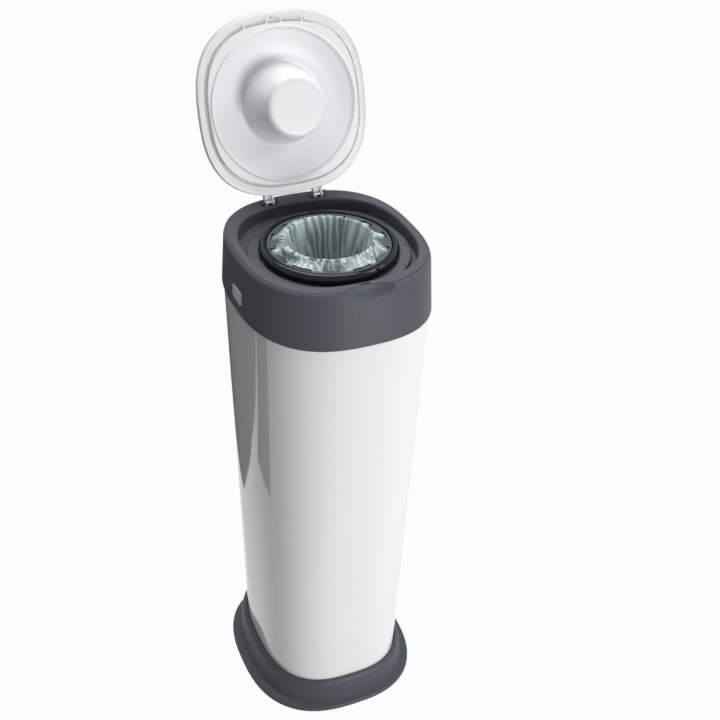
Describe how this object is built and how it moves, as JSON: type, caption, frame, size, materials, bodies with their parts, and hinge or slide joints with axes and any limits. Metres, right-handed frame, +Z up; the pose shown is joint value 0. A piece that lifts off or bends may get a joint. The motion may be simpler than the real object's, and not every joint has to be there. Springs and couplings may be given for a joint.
{
  "type": "nappy bin",
  "caption": "Tall tapered nappy bin on a flared plinth, with a lift-off head, twist ring, lift-out film cassette, hinged lid with a plug cup, and side release buttons.",
  "frame": {"origin": "on the floor, under the middle of the collar", "axes": "+Z up, front with the thumb scoop towards -Y, +X to the right seen from the front"},
  "size_m": [0.2288, 0.2997, 0.846],
  "materials": {
    "plinth_grey": "fine matte texture",
    "pad_rubber": "soft rubber",
    "steel": "zinc plated",
    "body_white": "high gloss white",
    "floor_grey": "plain moulded",
    "collar_grey": "fine matte texture",
    "dial_grey": "fine matte texture",
    "mark_black": "moulded in",
    "gripper_grey": "plain moulded",
    "button_grey": "satin",
    "ring_black": "gloss black",
    "cassette_grey": "gloss",
    "cover_grey": "gloss",
    "film": "thin translucent film",
    "lid_frosted": "frosted translucent",
    "liner_white": "satin white"
  },
  "bodies": {
    "base": {"base_plinth": "plinth_grey", "foot_pads": "pad_rubber", "base_screws": "steel", "body_shell": "body_white", "body_floor": "floor_grey"},
    "head": {"collar_shell": "collar_grey", "dial_plate": "dial_grey", "dial_marks": "mark_black", "film_gripper": "gripper_grey", "gripper_screws": "steel", "hinge_pin_left": "steel", "hinge_pin_right": "steel", "button_spring_left": "steel", "button_spring_right": "steel"},
    "ring": {"twist_ring": "ring_black", "ring_retainer": "gripper_grey"},
    "cassette": {"cassette_tub": "cassette_grey", "cassette_cover": "cover_grey", "film_pack": "film", "film_skirt": "film", "film_funnel": "film", "film_tube": "film", "film_twist": "film"},
    "lid": {"lid_shell": "lid_frosted", "lid_liner": "liner_white", "plug_cup": "liner_white"},
    "button_left": {"release_button_left": "button_grey"},
    "button_right": {"release_button_right": "button_grey"}
  },
  "joints": [
    {"name": "head_lift", "type": "slide", "parent": "base", "child": "head", "axis": [0, 0, 1], "range_m": [0, 0.06]},
    {"name": "lid_hinge", "type": "hinge", "parent": "head", "child": "lid", "pos_m": [0, 0.0995, 0.6425], "axis": [1, 0, 0], "range_deg": [0, 107.3]},
    {"name": "ring_turn", "type": "hinge", "parent": "head", "child": "ring", "pos_m": [0, -0.01, 0.63], "axis": [0, 0, 1], "continuous": true},
    {"name": "cassette_lift", "type": "slide", "parent": "ring", "child": "cassette", "axis": [0, 0, -1], "range_m": [-0.045, 0]},
    {"name": "button_left_press", "type": "slide", "parent": "head", "child": "button_left", "axis": [1, 0, 0], "range_m": [0, 0.003], "stiffness_N_per_m": 400, "springref_m": -0.002, "deforming": ["button_spring_left"]},
    {"name": "button_right_press", "type": "slide", "parent": "head", "child": "button_right", "axis": [-1, 0, 0], "range_m": [0, 0.003], "stiffness_N_per_m": 400, "springref_m": -0.002, "deforming": ["button_spring_right"]}
  ]
}
